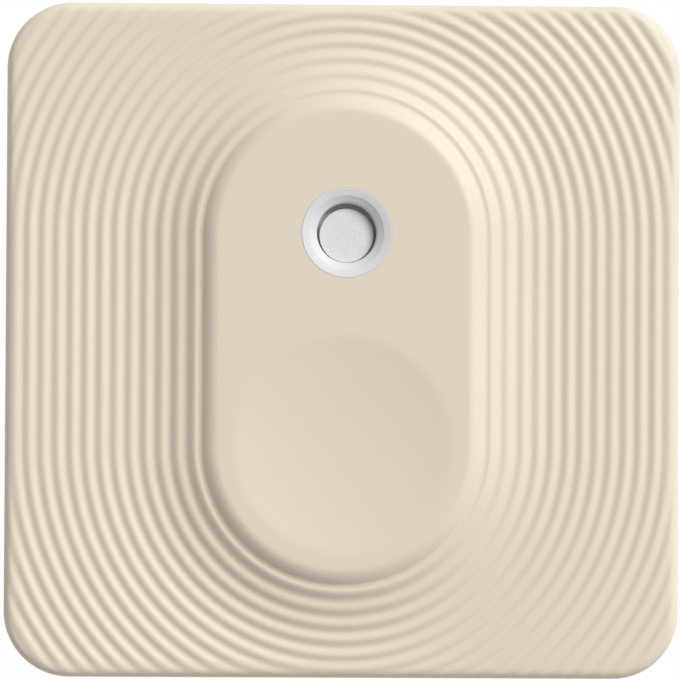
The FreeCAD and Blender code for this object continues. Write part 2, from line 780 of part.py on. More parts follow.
def make_chip_row(name):
    """A row of like small chips, as separate solids of one piece."""
    body = new_body(name)
    row = new_sketch(body, "row", offset=BOARD_TOP)
    side, copies = CHIP_ROWS[name][0], CHIP_ROWS[name][4]
    for i in range(copies):
        rectangle(row, f"Size.{name}_length", f"Size.{name}_width", "0", f"{i} * Size.{name}_step")
    pad(body, row, f"Size.{name}_height")
    move(body, beside_edge(name, side), f"Size.{name}_y")


# Battery holder: ring below the board with finger notches and a contact slot
def make_cell_holder():
    low = f"({BOARD_BOTTOM} - Size.holder_depth)"
    body = turned("cell_holder", [
        (HOLDER_INNER, low), (HOLDER_OUTER, low), (HOLDER_OUTER, BOARD_BOTTOM),
        ("Size.holder_window", BOARD_BOTTOM),
        ("Size.holder_window", f"{BOARD_BOTTOM} - Size.holder_web"),
        (HOLDER_INNER, f"{BOARD_BOTTOM} - Size.holder_web"),
    ])
    notch = new_sketch(body, "notch", offset=low)
    rectangle(notch, "2 * Size.holder_wall + Size.holder_clearance", "Size.notch_width",
              f"{HOLDER_INNER} + Size.holder_wall / 2", "0")
    cut = pocket(body, notch, "Size.notch_depth", up=True)
    pattern = body.newObject("PartDesign::PolarPattern", "finger_notches")
    pattern.Originals = [cut]
    pattern.Axis = (origin_feature(body, "Z_Axis"), [""])
    pattern.Angle = 360
    pattern.Occurrences = 4
    body.Tip = pattern
    doc.recompute()
    slot = new_sketch(body, "contact_slot", offset=low)
    rectangle(slot, "2 * (Size.holder_wall + Size.cell_radius - Size.holder_window)",
              "Size.plus_width + Size.plus_slot_clearance", f"-{HOLDER_OUTER}", "0")
    pocket(body, slot, "Size.holder_depth", up=True)


def make_plus_contact():
    near = "(Size.cell_radius + Size.contact_gap)"
    far = f"({near} + Size.contact_strip)"
    low = f"({BOARD_BOTTOM} - Size.plus_drop)"
    foot = f"({BOARD_BOTTOM} - Size.contact_strip)"
    body = new_body("plus_contact")
    sketch = new_sketch(body, "strip", "XZ_Plane")
    outline(sketch, [
        (f"-{near}", low), (f"-{near}", BOARD_BOTTOM), (f"-{far} - Size.plus_foot", BOARD_BOTTOM),
        (f"-{far} - Size.plus_foot", foot), (f"-{far}", foot), (f"-{far}", low),
    ])
    pad(body, sketch, "Size.plus_width", midplane=True)


def make_minus_contact():
    strip = "Size.contact_strip"
    start = "(Size.minus_reach / 2)"
    touch = f"({CELL_TOP} + Size.contact_gap)"
    foot = f"({BOARD_BOTTOM} - {strip})"
    body = new_body("minus_contact")
    sketch = new_sketch(body, "strip", "XZ_Plane")
    outline(sketch, [
        (f"-{start}", BOARD_BOTTOM), (f"-{start}", foot), (f"-{start} + Size.minus_foot", foot),
        (f"{start} - {strip}", touch), (start, touch), (start, f"{touch} + {strip}"),
        (f"{start} - {strip}", f"{touch} + {strip}"),
        (f"-{start} + Size.minus_foot + {strip}", BOARD_BOTTOM),
    ])
    pad(body, sketch, "Size.minus_width", midplane=True)


# Coin cell, plus side down: can, cap, the ring between them, and what they hold
CELL_SHOULDER = f"({CELL_TOP} - Size.can_shoulder)"
CAN_INNER = "(Size.cell_radius - Size.can_wall)"
LID_RADIUS = "(Size.cell_radius - Size.crimp_width)"
GROMMET_INNER = f"({CAN_INNER} - Size.grommet_thickness)"
CAP_INNER = f"({GROMMET_INNER} - Size.cap_wall)"
CAP_LID_INNER = f"({LID_RADIUS} - Size.grommet_thickness - Size.cap_wall)"
PELLET_BOTTOM = f"({CELL_BOTTOM} + Size.can_wall)"
PELLET_TOP = f"({PELLET_BOTTOM} + Size.cathode_height)"
SEPARATOR_TOP = f"({PELLET_TOP} + Size.separator_thickness)"


def make_cell_can():
    crimp_low = f"({CELL_SHOULDER} - Size.can_wall)"
    turned("cell_can", [
        ("0", CELL_BOTTOM),
        ("Size.cell_radius - Size.can_round", CELL_BOTTOM, "Size.can_round", 1),
        ("Size.cell_radius", f"{CELL_BOTTOM} + Size.can_round"),
        ("Size.cell_radius", f"{CELL_SHOULDER} - Size.can_round", "Size.can_round", 1),
        ("Size.cell_radius - Size.can_round", CELL_SHOULDER),
        (LID_RADIUS, CELL_SHOULDER),
        (LID_RADIUS, crimp_low),
        (CAN_INNER, crimp_low),
        (CAN_INNER, PELLET_BOTTOM),
        ("0", PELLET_BOTTOM),
    ])


def make_cell_grommet():
    low = f"({SEPARATOR_TOP} + Size.cell_fill_gap)"
    crimp_low = f"({CELL_SHOULDER} - Size.can_wall)"
    seat = f"({crimp_low} - Size.grommet_thickness)"
    turned("cell_grommet", [
        (GROMMET_INNER, low),
        (CAN_INNER, low),
        (CAN_INNER, crimp_low),
        (LID_RADIUS, crimp_low),
        (LID_RADIUS, CELL_SHOULDER),
        (f"{LID_RADIUS} - Size.grommet_thickness", CELL_SHOULDER),
        (f"{LID_RADIUS} - Size.grommet_thickness", seat),
        (GROMMET_INNER, seat),
    ])


def make_cell_cap():
    low = f"({SEPARATOR_TOP} + Size.cell_fill_gap)"
    seat = f"({CELL_SHOULDER} - Size.can_wall - Size.grommet_thickness)"
    lid = f"({LID_RADIUS} - Size.grommet_thickness)"
    turned("cell_cap", [
        ("0", f"{CELL_TOP} - Size.cap_wall"),
        (CAP_LID_INNER, f"{CELL_TOP} - Size.cap_wall"),
        (CAP_LID_INNER, f"{seat} - Size.cap_wall"),
        (CAP_INNER, f"{seat} - Size.cap_wall"),
        (CAP_INNER, low),
        (GROMMET_INNER, low),
        (GROMMET_INNER, seat),
        (lid, seat),
        (lid, f"{CELL_TOP} - Size.cap_wall", "Size.cap_wall", 1),
        (f"{lid} - Size.cap_wall", CELL_TOP),
        ("0", CELL_TOP),
    ])


def make_cell_filling():
    """Cathode pellet in the can, separator over it, and the anode in the cap."""
    gap = "Size.cell_fill_gap"
    seat = f"({CELL_SHOULDER} - Size.can_wall - Size.grommet_thickness)"
    layers = {
        "cell_cathode": (f"{CAN_INNER} - {gap}", PELLET_BOTTOM, PELLET_TOP),
        "cell_separator": (f"{CAN_INNER} - {gap}", PELLET_TOP, SEPARATOR_TOP),
        "cell_anode": (f"{CAP_INNER} - {gap}", SEPARATOR_TOP, f"{seat} - Size.cap_wall - {gap}"),
    }
    for label, (radius, low, high) in layers.items():
        turned(label, [("0", low), (radius, low), (radius, high), ("0", high)])


make_front_cover()
make_back_cover()
make_back_seal()
make_port_ring()
make_vent_disc()
make_filter_seal()
make_sensor_boot()
make_press_pad()
make_switch_base()
make_switch_frame()
make_switch_dome()
make_switch_stem()
make_circuit_board()
make_board_screws()
for name in COMPONENTS:
    make_component(name)
for name in CHIP_ROWS:
    make_chip_row(name)
make_cell_holder()
make_plus_contact()
make_minus_contact()
make_cell_can()
make_cell_grommet()
make_cell_cap()
make_cell_filling()
doc.recompute()

# Nothing is written unless every feature and every piece is sound
failed = [o.Label for o in doc.Objects if "Invalid" in o.State or "Error" in o.State]
if failed:
    raise ValueError(f"failed features: {failed}")
pieces = [o for o in doc.Objects if o.TypeId == "PartDesign::Body"]
for piece in pieces:
    if piece.Shape.isNull() or not piece.Shape.isValid():
        raise ValueError(f"{piece.Label} has no sound shape")
os.makedirs("parts", exist_ok=True)
for piece in pieces:
    piece.Shape.exportStep(f"parts/{piece.Label}.step")
    print(f"{piece.Label}: {len(piece.Shape.Solids)} solids, {piece.Shape.Volume:.2f} mm3")
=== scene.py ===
import bpy
import math
from mathutils import Euler, Matrix, Vector


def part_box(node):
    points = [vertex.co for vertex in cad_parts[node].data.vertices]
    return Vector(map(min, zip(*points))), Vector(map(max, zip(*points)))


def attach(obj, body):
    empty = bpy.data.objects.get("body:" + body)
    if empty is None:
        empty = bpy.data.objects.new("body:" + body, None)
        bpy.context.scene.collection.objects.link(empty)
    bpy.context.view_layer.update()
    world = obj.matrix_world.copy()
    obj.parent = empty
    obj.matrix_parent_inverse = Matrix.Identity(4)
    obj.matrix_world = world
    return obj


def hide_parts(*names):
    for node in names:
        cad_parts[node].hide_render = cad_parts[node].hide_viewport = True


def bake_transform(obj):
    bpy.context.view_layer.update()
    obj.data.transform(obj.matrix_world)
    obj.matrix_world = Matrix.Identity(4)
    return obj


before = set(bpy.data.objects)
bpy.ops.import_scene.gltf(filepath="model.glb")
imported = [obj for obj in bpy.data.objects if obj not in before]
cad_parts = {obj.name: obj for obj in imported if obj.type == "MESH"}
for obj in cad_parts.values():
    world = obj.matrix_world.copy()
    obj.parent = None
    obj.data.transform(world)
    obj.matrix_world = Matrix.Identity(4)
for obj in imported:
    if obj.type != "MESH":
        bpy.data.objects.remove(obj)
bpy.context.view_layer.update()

MM = 0.001
UP = Vector((0, 0, 1))
MIDDLE = Vector((0, 0, 0))
QUARTER = math.pi / 2
SAME_POINT = 0.0004 * MM
MIRROR_JOIN = 0.001 * MM
SOFT_ANGLE = math.radians(35)

# Levels and places that the CAD nodes give
COVER_LOW, COVER_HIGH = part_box("front_cover")
BACK_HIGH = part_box("back_cover")[1]
PAD_LOW, PAD_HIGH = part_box("press_pad")
RING_LOW, RING_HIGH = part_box("port_ring")
BOARD_LOW, BOARD_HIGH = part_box("circuit_board")
SEAL_LOW, SEAL_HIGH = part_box("back_seal")
SCREW_LOW, SCREW_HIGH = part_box("board_screws")
CAN_LOW, CAN_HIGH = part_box("cell_can")
CAP_LOW, CAP_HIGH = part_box("cell_cap")
GROMMET_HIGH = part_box("cell_grommet")[1]
HOLDER_LOW, HOLDER_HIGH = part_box("cell_holder")
PLUS_LOW, PLUS_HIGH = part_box("plus_contact")
MINUS_LOW, MINUS_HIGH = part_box("minus_contact")
SCREW_HEAD = 1.4 * MM
SCREW_PLACE = SCREW_HIGH.x - SCREW_HEAD
SCREWS = [Vector((x, y, 0)) for x in (-SCREW_PLACE, SCREW_PLACE) for y in (-SCREW_PLACE, SCREW_PLACE)]
HALF = COVER_HIGH.x
SHELL_FOOT = COVER_LOW.z
PLATEAU = PAD_HIGH.z
PORT = Vector(((RING_LOW.x + RING_HIGH.x) / 2, (RING_LOW.y + RING_HIGH.y) / 2, 0))
DISH = Vector((0, (PAD_LOW.y + PAD_HIGH.y) / 2, 0))
SPINE_TRIM = 0.04 * MM
SPINE = -DISH.y - SPINE_TRIM

# Front face. Its spine is the plateau's middle line, and SPINE is half that line's length.
# Distances of the plateau, the ramp and the ridges are measured from the spine.
CORNER = 3.9 * MM
WALL = 1.5 * MM
PLATEAU_RADIUS = 7.35 * MM
PLATEAU_RISE = 0.49 * MM
PLATEAU_BEND = 0.86
FLAT_ROWS = (0.0, 7.0 * MM, 7.15 * MM)
RAMP_RADIUS = 13.3 * MM
RAMP_RISE = 1.03 * MM
RAMP_BEND = 2.3
VALLEY = 8.41 * MM
FIRST_RIDGE = 8.79 * MM
RIDGE_PITCH = 0.8572 * MM
PITCH_GAIN = 0.335 * MM
PITCH_FADE = 0.6
RIDGE_HEIGHT = 0.108 * MM
RIDGE_SWELL = 0.022 * MM
RIDGE_COUNT = 18
RIM_RADIUS = 0.8 * MM
RIM_BLEND = 0.14 * MM
RIM_SLOPE = 0.4
RIM_LIFT = 0.03 * MM
FACE_WALL = 1.0 * MM
PLATEAU_WALL = 1.5 * MM
RIDGE_LEVEL = PLATEAU - PLATEAU_RISE - RAMP_RISE
RIM_LEVEL = RIDGE_LEVEL + RIDGE_HEIGHT / 2 + RIM_LIFT
CEILING = RIDGE_LEVEL - FACE_WALL
HOLLOW_TOP = PLATEAU - PLATEAU_WALL
HOLLOW_RADIUS = 7.55 * MM
DISH_RADIUS = 6.42 * MM
DISH_DEPTH = 0.35 * MM
DISH_SOFTNESS = 0.3 * MM
DISH_HOLE = 6.7 * MM
BOSS_RADIUS = 1.9 * MM
PILOT_RADIUS = 0.75 * MM
CUT_SPARE = 1.0 * MM

# Port ring and filter disc
LIP_RADIUS = 2.68 * MM
LIP_HEIGHT = 0.03 * MM
LIP_SEAT = 0.4 * MM
STEP_RADIUS = 2.2 * MM
STEP_FOOT = 2.12 * MM
NECK_RADIUS = 2.3 * MM
BORE_RADIUS = 1.76 * MM
LEDGE_RADIUS = 1.1 * MM
VENT_RADIUS = 1.6 * MM
VENT_SHIFT = Vector((0, 0.14 * MM, 0))
VENT_DEPTH = 0.85 * MM
VENT_THICKNESS = 0.55 * MM
SEAL_THICKNESS = 0.1 * MM
VENT_TOP = PLATEAU - VENT_DEPTH
VENT_LOW = VENT_TOP - VENT_THICKNESS
LEDGE_TOP = VENT_LOW - SEAL_THICKNESS


# Modelling helpers
def finish_edit():
    """Leave edit mode, which writes the work to the mesh."""
    bpy.ops.object.mode_set(mode="OBJECT")


def select_only(piece):
    """Make one object the only one that operators act on."""
    bpy.ops.object.select_all(action="DESELECT")
    piece.select_set(True)
    bpy.context.view_layer.objects.active = piece


def start_plane(name, size, place):
    """A new plane whose origin is at the world's, left in edit mode with all of it selected."""
    bpy.ops.object.select_all(action="DESELECT")
    bpy.ops.mesh.primitive_plane_add(size=size)
    piece = bpy.context.object
    piece.name = piece.data.name = name
    bpy.ops.object.mode_set(mode="EDIT")
    bpy.ops.mesh.select_mode(type="VERT")
    bpy.ops.mesh.select_all(action="SELECT")
    bpy.ops.transform.translate(value=place)
    return piece


def start_chain(name, points):
    """A row of edges drawn point by point, left in edit mode with its last point selected."""
    piece = start_plane(name, MM, points[0])
    bpy.ops.mesh.merge(type="CENTER")
    for last, point in zip(points, points[1:]):
        step = Vector(point) - Vector(last)
        bpy.ops.mesh.extrude_vertices_move(TRANSFORM_OT_translate={"value": step})
    return piece


def close_mesh(piece, smooth=SOFT_ANGLE):
    """Merge doubles, turn the faces outwards and smooth all but the sharp edges."""
    select_only(piece)
    bpy.ops.object.mode_set(mode="EDIT")
    bpy.ops.mesh.select_all(action="SELECT")
    bpy.ops.mesh.remove_doubles(threshold=SAME_POINT)
    bpy.ops.mesh.normals_make_consistent(inside=False)
    finish_edit()
    if smooth:
        bpy.ops.object.shade_smooth_by_angle(angle=smooth)
    return piece


def moved_copy(piece, name, step):
    """A copy of a piece with its own mesh, moved by a step."""
    select_only(piece)
    bpy.ops.object.duplicate(linked=False)
    copy = bpy.context.object
    copy.name = copy.data.name = name
    bpy.ops.object.mode_set(mode="EDIT")
    bpy.ops.mesh.select_all(action="SELECT")
    bpy.ops.transform.translate(value=step)
    finish_edit()
    return copy


def rounded(profile, steps=8):
    """The points of a profile, with an arc at each corner that has a radius as its third value."""
    points = []
    for i, corner in enumerate(profile):
        here = Vector(corner[:2])
        if len(corner) == 2:
            points.append(here)
            continue
        before = (Vector(profile[i - 1][:2]) - here).normalized()
        after = (Vector(profile[(i + 1) % len(profile)][:2]) - here).normalized()
        half_angle = before.angle(after) / 2
        reach = corner[2] / math.tan(half_angle)
        centre = here + (before + after).normalized() * corner[2] / math.sin(half_angle)
        first = here + before * reach - centre
        turn = first.angle_signed(here + after * reach - centre)
        for j in range(steps + 1):
            swung = first.copy()
            swung.rotate(Matrix.Rotation(-turn * j / steps, 2))
            points.append(centre + swung)
    return points


def turned(name, profile, centre, steps=128, closed=False):
    """A piece turned on a lathe: a profile of (radius, height) spun round an upright axis."""
    points = [(p[0] + centre.x, centre.y, p[1]) for p in rounded(profile)]
    if closed:
        points.append(points[0])
    piece = start_chain(name, points)
    bpy.ops.mesh.select_all(action="SELECT")
    bpy.ops.mesh.spin(steps=steps, angle=2 * math.pi, center=(centre.x, centre.y, 0), axis=UP)
    finish_edit()
    return close_mesh(piece)


def apply_modifiers(piece):
    """Turn all modifiers of a piece into plain mesh."""
    select_only(piece)
    for modifier in list(piece.modifiers):
        bpy.ops.object.modifier_apply(modifier=modifier.name)


def mirror_quarter(piece):
    """Complete a quarter by mirroring it in x and y."""
    mirror = piece.modifiers.new("other_sides", "MIRROR")
    mirror.use_axis = (True, True, False)
    mirror.use_clip = True
    mirror.merge_threshold = MIRROR_JOIN
    apply_modifiers(piece)
    close_mesh(piece, smooth=None)


def cut(piece, tools, operation="DIFFERENCE"):
    """Cut the tools out of a piece, or join them to it, and delete them."""
    group = bpy.data.collections.new("tools")
    bpy.context.scene.collection.children.link(group)
    for tool in tools:
        group.objects.link(tool)
    boolean = piece.modifiers.new("cut", "BOOLEAN")
    boolean.operation = operation
    boolean.operand_type = "COLLECTION"
    boolean.collection = group
    boolean.solver = "MANIFOLD"
    apply_modifiers(piece)
    for tool in tools:
        bpy.data.objects.remove(tool)
    bpy.data.collections.remove(group)


def block(name, low, high, edge=0.0, segments=3):
    """A rectangular block between two corners, with its edges bevelled."""
    low, high = Vector(low), Vector(high)
    bpy.ops.object.select_all(action="DESELECT")
    bpy.ops.mesh.primitive_cube_add(size=1)
    piece = bpy.context.object
    piece.name = piece.data.name = name
    bpy.ops.object.mode_set(mode="EDIT")
    bpy.ops.mesh.select_all(action="SELECT")
    bpy.ops.transform.resize(value=high - low)
    bpy.ops.transform.translate(value=(low + high) / 2)
    if edge:
        bpy.ops.mesh.bevel(offset=edge, segments=segments, affect="EDGES")
    finish_edit()
    return close_mesh(piece)


# Heights of the front face
def crest(i):
    """The distance of a ridge's crest from the spine."""
    return FIRST_RIDGE + i * RIDGE_PITCH + PITCH_GAIN * (1 - PITCH_FADE ** i)


CRESTS = [2 * VALLEY - FIRST_RIDGE] + [crest(i) for i in range(RIDGE_COUNT)]


def ridge_rise(turn):
    """Half the ridges' height, by the count of ridges from the plateau."""
    return (RIDGE_HEIGHT + RIDGE_SWELL * PITCH_FADE ** turn) / 2


def base_height(distance):
    """The ridges' mean surface, which climbs towards the plateau."""
    share = max(0.0, (RAMP_RADIUS - distance) / (RAMP_RADIUS - VALLEY))
    return RIDGE_LEVEL + RAMP_RISE * share ** RAMP_BEND


def ripple_height(distance):
    """The plateau, its rounded wall and the ridges beyond."""
    if distance <= PLATEAU_RADIUS:
        return PLATEAU
    if distance < VALLEY:
        foot = base_height(VALLEY) - ridge_rise(-0.5)
        share = (distance - PLATEAU_RADIUS) / (VALLEY - PLATEAU_RADIUS)
        if share < PLATEAU_BEND:
            fall = PLATEAU_BEND * (share / PLATEAU_BEND) ** 2
        else:
            fall = 1 - (1 - PLATEAU_BEND) * ((1 - share) / (1 - PLATEAU_BEND)) ** 2
        return PLATEAU - fall * (PLATEAU - foot)
    i = max(j for j, place in enumerate(CRESTS) if place <= distance)
    phase = (distance - CRESTS[i]) / (CRESTS[i + 1] - CRESTS[i])
    return base_height(distance) + ridge_rise(i - 1 + phase) * math.cos(2 * math.pi * phase)


def inset(x, y):
    """How far a point lies inside the square outline, and the direction straight out of it there."""
    away = Vector((abs(x) - HALF + CORNER, abs(y) - HALF + CORNER))
    sides = Vector((math.copysign(1, x), math.copysign(1, y)))
    if away.x > 0 and away.y > 0:
        return CORNER - away.length, away.normalized() * sides
    if away.x > away.y:
        return CORNER - away.x, Vector((sides.x, 0))
    return CORNER - away.y, Vector((0, sides.y))


def rim_height(depth):
    """The roll-over at the rim, by the distance inside the outline."""
    if depth >= RIM_RADIUS:
        return RIM_LEVEL + RIM_SLOPE * (depth - RIM_RADIUS)
    return RIM_LEVEL - RIM_RADIUS + math.sqrt(RIM_RADIUS ** 2 - (RIM_RADIUS - depth) ** 2)


def face_height(x, y):
    """The height of the front face: the ridges, softly cut off by the rim's roll-over."""
    ripple = ripple_height(math.hypot(x, max(0.0, abs(y) - SPINE)))
    rim = rim_height(max(0.0, inset(x, y)[0]))
    overlap = max(RIM_BLEND - abs(ripple - rim), 0.0)
    return min(ripple, rim) - overlap ** 2 / (4 * RIM_BLEND)


def stations():
    """Distances from the spine at which the face has a row of points, first on the flat."""
    places = list(FLAT_ROWS)
    wall_steps, ridge_steps = 16, 12
    places += [PLATEAU_RADIUS + (VALLEY - PLATEAU_RADIUS) * j / wall_steps for j in range(wall_steps)]
    marks = [VALLEY] + CRESTS[1:-1]
    for i, (start, end) in enumerate(zip(marks, marks[1:])):
        steps = ridge_steps // 2 if i == 0 else ridge_steps
        places += [start + (end - start) * j / steps for j in range(steps)]
    return places


def select_rim(piece, depth):
    """Select the quarter's outer edges, which lie at one distance inside the outline."""
    bpy.ops.object.mode_set(mode="EDIT")
    bpy.ops.mesh.select_all(action="SELECT")
    bpy.ops.mesh.region_to_loop()
    finish_edit()
    mesh = piece.data
    near = 0.012 * MM
    for item in (*mesh.vertices, *mesh.polygons):
        item.select = False
    for edge in mesh.edges:
        ends = [mesh.vertices[v] for v in edge.vertices]
        at_rim = all(abs(inset(end.co.x, end.co.y)[0] - depth) < near for end in ends)
        edge.select = edge.select and at_rim
        if edge.select:
            ends[0].select = ends[1].select = True
    bpy.ops.object.mode_set(mode="EDIT")


def extrude_row(piece, place):
    """Extrude what is selected, and put each new point where place says."""
    bpy.ops.mesh.extrude_region_move(TRANSFORM_OT_translate={"value": (0, 0, 0)})
    finish_edit()
    for vertex in piece.data.vertices:
        if vertex.select:
            vertex.co = place(vertex.co)
    bpy.ops.object.mode_set(mode="EDIT")


def at_inset(depth, height=None):
    """A rule that moves a point to a distance inside the outline, on the face or at a height."""
    def rule(point):
        now, direction = inset(point.x, point.y)
        x = point.x + direction.x * (now - depth)
        y = point.y + direction.y * (now - depth)
        return Vector((x, y, face_height(x, y) if height is None else height))
    return rule


def shell_quarter():
    """One quarter of the shell, drawn outwards from the spine and down round the rim."""
    piece = start_chain("front_shell", [(d, 0, 0) for d in stations()])
    bpy.ops.mesh.select_all(action="SELECT")
    bpy.ops.mesh.extrude_region_move(TRANSFORM_OT_translate={"value": (0, SPINE, 0)})
    bpy.ops.mesh.spin(steps=60, angle=-QUARTER, center=(0, SPINE, 0), axis=UP)
    bpy.ops.mesh.select_all(action="SELECT")
    bpy.ops.mesh.remove_doubles(threshold=SAME_POINT)
    margin, on_plane, crowded = 1.05 * MM, 0.0001 * MM, 0.002 * MM
    centre = Vector((HALF - CORNER, HALF - CORNER, 0))
    planes = 20
    for i in range(planes + 1):
        angle = QUARTER * i / planes
        normal = Vector((math.cos(angle), math.sin(angle), 0))
        bpy.ops.mesh.select_all(action="SELECT")
        bpy.ops.mesh.bisect(plane_co=centre + normal * (CORNER - margin), plane_no=normal,
                            clear_outer=True, threshold=on_plane)
    bpy.ops.mesh.select_all(action="SELECT")
    bpy.ops.mesh.remove_doubles(threshold=crowded)
    finish_edit()
    for vertex in piece.data.vertices:
        vertex.co.z = face_height(vertex.co.x, vertex.co.y)
    select_rim(piece, margin)
    rows = 12
    for i in range(1, rows + 1):
        depth = margin * (1 - math.sin(QUARTER * i / rows))
        extrude_row(piece, at_inset(depth))
    lead = 0.12 * MM
    knee = lead * 0.3
    turn_in = [(0, SHELL_FOOT + lead), (knee, SHELL_FOOT + knee), (lead, SHELL_FOOT),
               (WALL - lead, SHELL_FOOT), (WALL, SHELL_FOOT + lead), (WALL, CEILING)]
    for depth, height in turn_in:
        extrude_row(piece, at_inset(depth, height))
    finish_edit()
    return piece


def stadium_tool(name, radius, half, low, high):
    """An upright block with two straight and two round sides, to cut with."""
    piece = start_chain(name, [(radius, -half, low), (radius, half, low)])
    bpy.ops.mesh.spin(steps=48, angle=-math.pi, center=(0, half, 0), axis=UP)
    finish_edit()
    mirror_quarter(piece)
    bpy.ops.object.mode_set(mode="EDIT")
    bpy.ops.mesh.select_all(action="SELECT")
    bpy.ops.mesh.edge_face_add()
    bpy.ops.mesh.extrude_region_move(TRANSFORM_OT_translate={"value": (0, 0, high - low)})
    finish_edit()
    return close_mesh(piece, smooth=None)


def rod(name, radius, centre, low, high, steps=96):
    """An upright rod, to cut with or to join on."""
    return turned(name, [(0, low), (radius, low), (radius, high), (0, high)], centre, steps)


def make_front_shell():
    """The shell: four quarters, closed at the top, with screw bosses, hollow and openings."""
    piece = shell_quarter()
    mirror_quarter(piece)
    bpy.ops.object.mode_set(mode="EDIT")
    bpy.ops.mesh.select_all(action="DESELECT")
    bpy.ops.mesh.select_non_manifold(extend=False)
    bpy.ops.mesh.edge_face_add()
    finish_edit()
    close_mesh(piece, smooth=None)
    root, tip_room = 0.3 * MM, 0.1 * MM
    neck_play, lip_grip = 0.02 * MM, 0.005 * MM
    above, below = PLATEAU + CUT_SPARE, HOLLOW_TOP - CUT_SPARE
    bosses = [rod("boss", BOSS_RADIUS, place, BOARD_HIGH.z, CEILING + root, steps=64)
              for place in SCREWS]
    cut(piece, bosses, "UNION")
    pilot_low, pilot_high = BOARD_HIGH.z - CUT_SPARE, SCREW_HIGH.z + tip_room
    pilots = [rod("pilot", PILOT_RADIUS, place, pilot_low, pilot_high, steps=32)
              for place in SCREWS]
    hollow = stadium_tool("hollow", HOLLOW_RADIUS, SPINE, CEILING - CUT_SPARE, HOLLOW_TOP)
    port = rod("port_hole", NECK_RADIUS + neck_play, PORT, below, above)
    seat = rod("port_seat", LIP_RADIUS - lip_grip, PORT, PLATEAU - LIP_SEAT, above)
    dish = rod("dish_hole", DISH_HOLE, DISH, below, above, steps=160)
    cut(piece, [hollow, port, seat, dish, *pilots])
    bpy.ops.object.shade_smooth_by_angle(angle=SOFT_ANGLE)
    return piece


def make_press_dish():
    """The thin web that gives under a finger: a shallow dish with a rim and a post below."""
    recess = 0.002 * MM
    top = PLATEAU - recess
    edge = DISH_RADIUS - DISH_SOFTNESS
    far = DISH_RADIUS + DISH_SOFTNESS
    slope = 2 * DISH_DEPTH / DISH_RADIUS
    profile = [(0, top - DISH_DEPTH)]
    rings = 28
    drop = slope * DISH_SOFTNESS
    floor_drop = DISH_DEPTH - drop / 2
    for i in range(1, rings + 1):
        r = edge * i / rings
        profile.append((r, top - drop / 2 - floor_drop * (1 - (r / edge) ** 2)))
    start_slope = 2 * floor_drop / edge
    blends = 10
    for i in range(1, blends + 1):
        s = i / blends
        rise = start_slope * (far - edge) * (s - s ** 2 / 2)
        profile.append((edge + (far - edge) * s, top - drop / 2 + rise))
    shift = profile[-1][1] - top
    profile = [(r, z - shift) for r, z in profile]
    lip = DISH_HOLE + 0.03 * MM
    under = PLATEAU - 1.3 * MM
    flange, web, post = 7.2 * MM, 5.6 * MM, 1.3 * MM
    flange_top = HOLLOW_TOP - 0.05 * MM
    flange_low = PLATEAU - 2.35 * MM
    profile += [
        (lip, top), (lip, flange_top), (flange, flange_top, 0.15 * MM),
        (flange, flange_low, 0.2 * MM), (web, flange_low, 0.2 * MM), (web, under, 0.3 * MM),
        (post, under, 0.4 * MM), (post, PAD_LOW.z, 0.15 * MM), (0, PAD_LOW.z),
    ]
    return turned("press_dish", profile, DISH, steps=144)


def make_port_ring():
    """The pressed-in ring: a low lip that slopes inwards to a step and a funnel round the bore."""
    top = PLATEAU + LIP_HEIGHT
    small = 0.05 * MM
    profile = [
        (LEDGE_RADIUS, RING_LOW.z, small), (NECK_RADIUS, RING_LOW.z, 0.15 * MM),
        (NECK_RADIUS, PLATEAU - LIP_SEAT), (LIP_RADIUS, PLATEAU - LIP_SEAT, small),
        (LIP_RADIUS, top - 0.01 * MM, 0.06 * MM), (STEP_RADIUS, top - 0.13 * MM, small),
        (STEP_FOOT, top - 0.19 * MM, small), (BORE_RADIUS, top - 0.4 * MM, 0.28 * MM),
        (BORE_RADIUS, LEDGE_TOP), (LEDGE_RADIUS, LEDGE_TOP, small),
    ]
    return turned("port_ring_finished", profile, PORT, closed=True)


def make_vent_disc():
    """The sintered filter disc on the bore's ledge."""
    profile = [(0, VENT_LOW), (VENT_RADIUS, VENT_LOW, 0.04 * MM),
               (VENT_RADIUS, VENT_TOP, 0.05 * MM), (0, VENT_TOP)]
    return turned("vent_disc_finished", profile, PORT - VENT_SHIFT)


# Back, seal and board
def swept(name, profile):
    """A block with rows that follow the square outline, by a profile of (half width, height)."""
    rows = rounded(profile)
    piece = start_plane(name, 2 * rows[0].x, (0, 0, rows[0].y))
    bpy.ops.mesh.bevel(offset=rows[0].x - HALF + CORNER, segments=14, affect="VERTICES")
    bpy.ops.mesh.select_all(action="SELECT")
    for row in rows[1:]:
        extrude_row(piece, at_inset(HALF - row.x, row.y))
    finish_edit()
    return close_mesh(piece)


